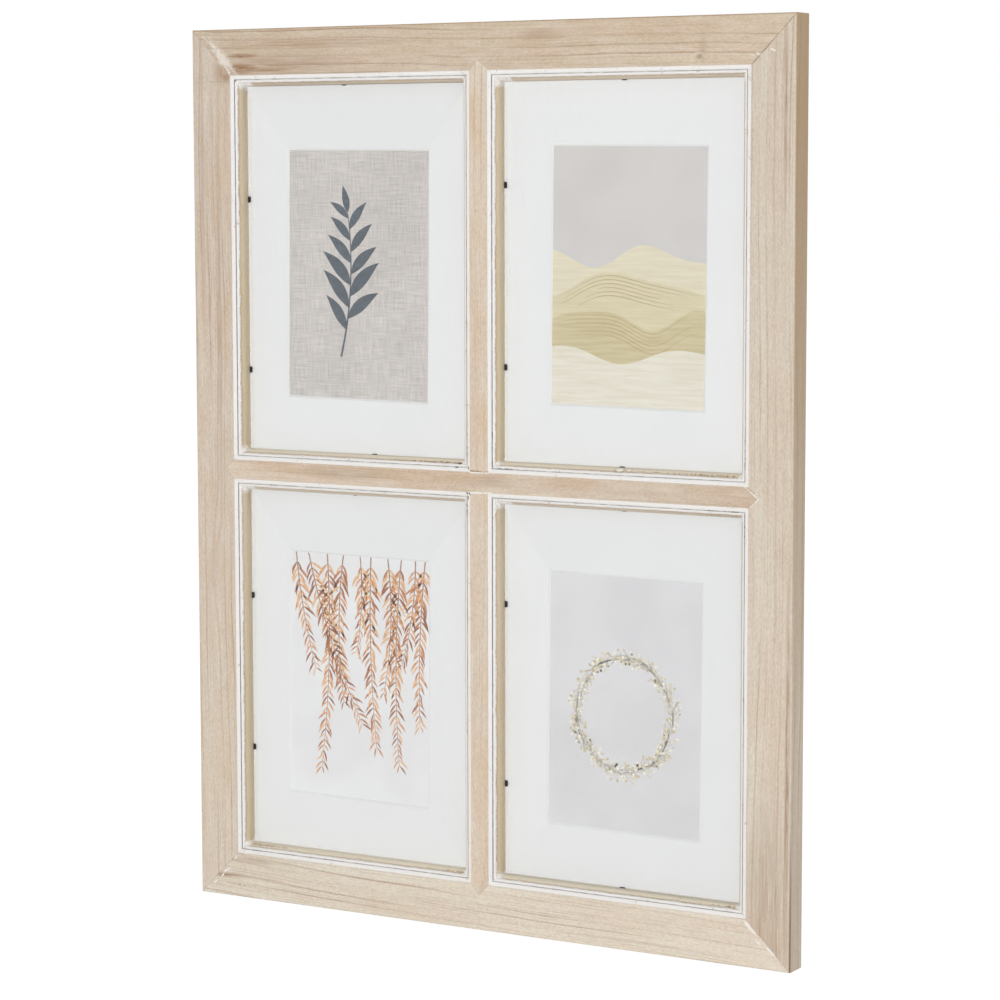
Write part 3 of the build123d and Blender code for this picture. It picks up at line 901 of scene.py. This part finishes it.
def draw_lower_left():
    """Branches with narrow rust-brown leaves that hang in from the top."""
    stems = Drawing("lower_left", "branches", 1, ink("bark_ink", srgb(140, 98, 66), srgb(168, 126, 90)))
    tones = ((178, 112, 66), (200, 142, 92), (146, 86, 50), (214, 168, 122))
    leaves = [
        Drawing(
            "lower_left", f"leaves_{n}", n + 2,
            ink(f"rust_ink_{n}", srgb(*tone), srgb(*[value + 18 for value in tone]), (1.5, 4)),
        )
        for n, tone in enumerate(tones)
    ]
    chance = random.Random(12)
    branches = (
        ((-47, 76), -84, 74, 0.2), ((-38, 76), -76, 112, 0.25), ((-24, 76), -86, 134, -0.2),
        ((-12, 76), -98, 92, 0.3), ((0, 76), -84, 60, -0.3), ((8, 76), -92, 118, 0.15),
        ((20, 76), -82, 84, -0.35), ((30, 76), -96, 128, 0.2), ((40, 76), -90, 66, -0.3),
        ((47, 76), -96, 102, 0.15),
    )
    for start, angle, length, bend in branches:
        steps = int(length / 3.4)
        points, headings = curve_points(start, math.radians(angle), length, bend, steps)
        stems.ribbon(points, [0.9 - 0.6 * n / steps for n in range(steps + 1)])
        for n in range(2, steps + 1):
            for side in (-1, 1):
                x, z = points[n]
                own_angle = headings[n] + side * chance.uniform(0.5, 1.05)
                own_length = chance.uniform(7.5, 13) * (1.1 - 0.45 * n / steps)
                chance.choice(leaves).leaf(
                    x, z, own_angle, own_length, own_length * 0.15, -side * 0.5, 0.9, 8
                )
    for drawing in (stems, *leaves):
        drawing.finish()


def draw_lower_right():
    """Wreath of fine twigs with cream and beige dabs."""
    twig_ink = ink("twig_ink", srgb(176, 166, 140), srgb(196, 187, 162))
    twigs = Drawing("lower_right", "twigs", 1, twig_ink)
    tones = ((236, 230, 214), (214, 204, 178), (196, 184, 150))
    dabs = [
        Drawing(
            "lower_right", f"dabs_{n}", n + 2,
            ink(f"cream_ink_{n}", srgb(*tone), srgb(*tone), (1, 1), 0.1),
        )
        for n, tone in enumerate(tones)
    ]
    chance = random.Random(21)
    ring_radius, middle_z, twig_count = 31, -6, 64
    for n in range(twig_count):
        around = math.tau * n / twig_count + chance.uniform(-0.03, 0.03)
        x = ring_radius * math.cos(around) + chance.uniform(-1.5, 1.5)
        z = middle_z + ring_radius * math.sin(around) * 1.08 + chance.uniform(-1.5, 1.5)
        heading = around + math.pi / 2
        points, headings = curve_points((x, z), heading, chance.uniform(10, 16), 0.42, 8)
        twigs.ribbon(points, [0.45 - 0.035 * k for k in range(9)])
        for _ in range(7):
            place = chance.randrange(2, 9)
            side = chance.choice((-1, 1))
            reach = chance.uniform(2, 8)
            turn = headings[place] - side * chance.uniform(0.5, 1.1)
            fork, _ = curve_points(points[place], turn, reach, side * 0.3, 4)
            twigs.ribbon(fork, (0.28, 0.26, 0.24, 0.2, 0.16))
            chance.choice(dabs).dab(*fork[-1], chance.uniform(0.45, 1.15), chance)
    for drawing in (twigs, *dabs):
        drawing.finish()


def point_outline():
    """Outline of one flexible point, as (along, across) from the place where it leaves the wall."""
    outline = [(-flex_embedded, -flex_width / 2)]
    for turn in range(0, 91, 15):
        a = math.radians(turn)
        along = flex_reach - flex_tip_round + flex_tip_round * math.sin(a)
        outline.append((along, -flex_width / 2 + flex_tip_round - flex_tip_round * math.cos(a)))
    return outline + [(along, -across) for along, across in outline[::-1]]


def add_point(mesh, place, inward):
    """Add one flexible point to a mesh, where it leaves the wall and the way that it points."""
    rings = []
    for depth in (flex_front, flex_front + flex_thickness):
        ring = []
        for along, across in point_outline():
            x = place[0] + along * inward[0] - across * inward[1]
            z = place[1] + along * inward[1] + across * inward[0]
            ring.append(mesh.verts.new((x * MM, depth * MM, z * MM)))
        rings.append(ring)
    front, back = rings
    mesh.faces.new(front)
    mesh.faces.new(back[::-1])
    for n in range(len(front)):
        after = (n + 1) % len(front)
        mesh.faces.new([front[after], front[n], back[n], back[after]])


def flexible_points(window, material):
    """Flexible points behind one board, one piece for each wall."""
    side, level = windows[window]
    left, right = sorted((side * wall_inner, side * wall_side))
    low, high = sorted((level * wall_inner, level * wall_end))
    down = [(0, -(high - low) * share) for share in flex_side_shares]
    along = [((right - left) * flex_end_share, 0)]
    walls = {
        "left": ((left, high), (1, 0), down),
        "right": ((right, high), (-1, 0), down),
        "top": ((left, high), (0, -1), along),
        "bottom": ((left, low), (0, 1), along),
    }
    for wall, (corner, inward, places) in walls.items():
        mesh = bmesh.new()
        for place in places:
            add_point(mesh, (corner[0] + place[0], corner[1] + place[1]), inward)
        bmesh.ops.recalc_face_normals(mesh, faces=mesh.faces)
        name = f"{window}_{wall}_flexible_points"
        data = bpy.data.meshes.new(name)
        mesh.to_mesh(data)
        mesh.free()
        data.materials.append(material)
        piece = bpy.data.objects.new(name, data)
        bpy.context.scene.collection.objects.link(piece)
        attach(piece, "frame")
        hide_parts(f"{window}_flexible_points")
        anchor = (corner[0] * MM, flex_front * MM, corner[1] * MM)
        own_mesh(piece)


def dress(node, material):
    """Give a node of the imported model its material."""
    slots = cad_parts[node].data.materials
    if len(slots) == 0:
        slots.append(material)
    for place in range(len(slots)):
        slots[place] = material


def dress_nodes():
    """Materials of every node that shows as packed."""
    for node, material in make_woods().items():
        dress(node, material)
    mat_card, pane, board = card(), clear_pane(), hardboard()
    black, bright = black_steel(), bright_steel()
    papers = {
        "upper_left": paper("upper_left", srgb(200, 194, 189), srgb(192, 186, 181), 0.8),
        "upper_right": paper("upper_right", srgb(205, 201, 199), srgb(199, 195, 192), 0.04),
        "lower_left": paper("lower_left", srgb(231, 231, 232), srgb(225, 224, 225), 0.02),
        "lower_right": paper("lower_right", srgb(216, 215, 217), srgb(209, 208, 210), 0.02),
    }
    for window in windows:
        dress(f"{window}_pane", pane)
        dress(f"{window}_mat", mat_card)
        dress(f"{window}_print", papers[window])
        dress(f"{window}_backing_board", board)
        dress(f"{window}_stop_points", black)
        flexible_points(window, black)
        dress(f"{window}_flexible_points", black)
    for node in ("corner_v_nails", "muntin_v_nails", "hanger_screws"):
        dress(node, bright)
    for side in ("left", "right"):
        dress(f"{side}_hanger_strap", bright)
        dress(f"{side}_hanger_ring", bright)


def make_camera():
    """Camera at the photograph's viewpoint."""
    place_m = (0.9474, -1.5986, 0.1807)
    yaw, pitch, roll = math.radians(30.514), math.radians(-5.912), math.radians(0.096)
    data = bpy.data.cameras.new("photo_camera")
    data.sensor_width = 36
    data.lens = 112.72
    data.clip_end = 50
    camera = bpy.data.objects.new("photo_camera", data)
    turn = Matrix.Rotation(yaw, 4, "Z") @ Matrix.Rotation(pitch, 4, "X") @ Matrix.Rotation(roll, 4, "Y")
    upright = Matrix.Rotation(math.radians(90), 4, "X")
    camera.matrix_world = Matrix.Translation(place_m) @ turn @ upright
    bpy.context.scene.collection.objects.link(camera)
    bpy.context.scene.camera = camera


def make_lamp(name, place_m, size_m, watts):
    """Square soft lamp that faces the frame."""
    data = bpy.data.lights.new(name, "AREA")
    data.shape = "SQUARE"
    data.size = size_m
    data.energy = watts
    lamp = bpy.data.objects.new(name, data)
    lamp.location = place_m
    lamp.rotation_mode = "QUATERNION"
    lamp.rotation_quaternion = (-Vector(place_m)).to_track_quat("-Z", "Y")
    bpy.context.scene.collection.objects.link(lamp)


def rays(tree, names):
    """1 for rays of these kinds, 0 for others."""
    path = tree.nodes.new("ShaderNodeLightPath")
    kinds = [Field(tree, path.outputs[name]) for name in names]
    return kinds[0].most(*kinds[1:])


def seen_directly(tree):
    """1 for rays from the camera and those that mirror or pass through to a surface, 0 for others."""
    return rays(tree, ("Is Camera Ray", "Is Glossy Ray", "Is Transmission Ray"))


def make_world(level):
    """Plain light from all sides, behind which the background shows white."""
    world = bpy.data.worlds.new("studio")
    world.use_nodes = True
    bpy.context.scene.world = world
    tree = world.node_tree
    background = tree.nodes["Background"]
    white = seen_directly(tree)
    feed(tree, background.inputs["Strength"], white * (1 - level) + level)
    background.inputs["Color"].default_value = (1, 1, 1, 1)


def make_floor():
    """Pale floor that shows white around the frame and keeps its shadow."""
    reach_m, gap_m = 8, 0.0003
    glow_strength, glow_share = 1.3, 0.7
    mesh = bmesh.new()
    bmesh.ops.create_grid(mesh, x_segments=8, y_segments=8, size=reach_m)
    data = bpy.data.meshes.new("floor")
    mesh.to_mesh(data)
    mesh.free()
    floor = bpy.data.objects.new("floor", data)
    floor.location = (0, 0, cad_low.z - gap_m)
    bpy.context.scene.collection.objects.link(floor)
    surface = Surface("floor", 0.9)
    tree = surface.tree
    speckle = surface.noise(surface.x / 60, surface.y / 60, 0.0, 1, 2)
    surface.finish(surface.blend(speckle, srgb(240, 240, 240), srgb(236, 236, 236)))
    glow = tree.nodes.new("ShaderNodeEmission")
    glow.inputs["Strength"].default_value = glow_strength
    mix = tree.nodes.new("ShaderNodeMixShader")
    white = seen_directly(tree)
    feed(tree, mix.inputs[0], white * glow_share)
    tree.links.new(surface.shader.outputs[0], mix.inputs[1])
    tree.links.new(glow.outputs[0], mix.inputs[2])
    tree.links.new(mix.outputs[0], tree.nodes["Material Output"].inputs[0])
    data.materials.append(surface.material)


make_camera()
make_world(0.5)
make_lamp("front_lamp", place_m=(0.45, -3.2, 0.1), size_m=0.8, watts=51)
make_lamp("side_lamp", place_m=(2.8, -0.1, 0.0), size_m=0.8, watts=13)
make_lamp("back_lamp", place_m=(0.6, 3.0, 0.8), size_m=1.0, watts=20)
make_floor()
dress_nodes()
draw_upper_left()
draw_upper_right()
draw_lower_left()
draw_lower_right()
bpy.context.scene.view_settings.view_transform = "Standard"
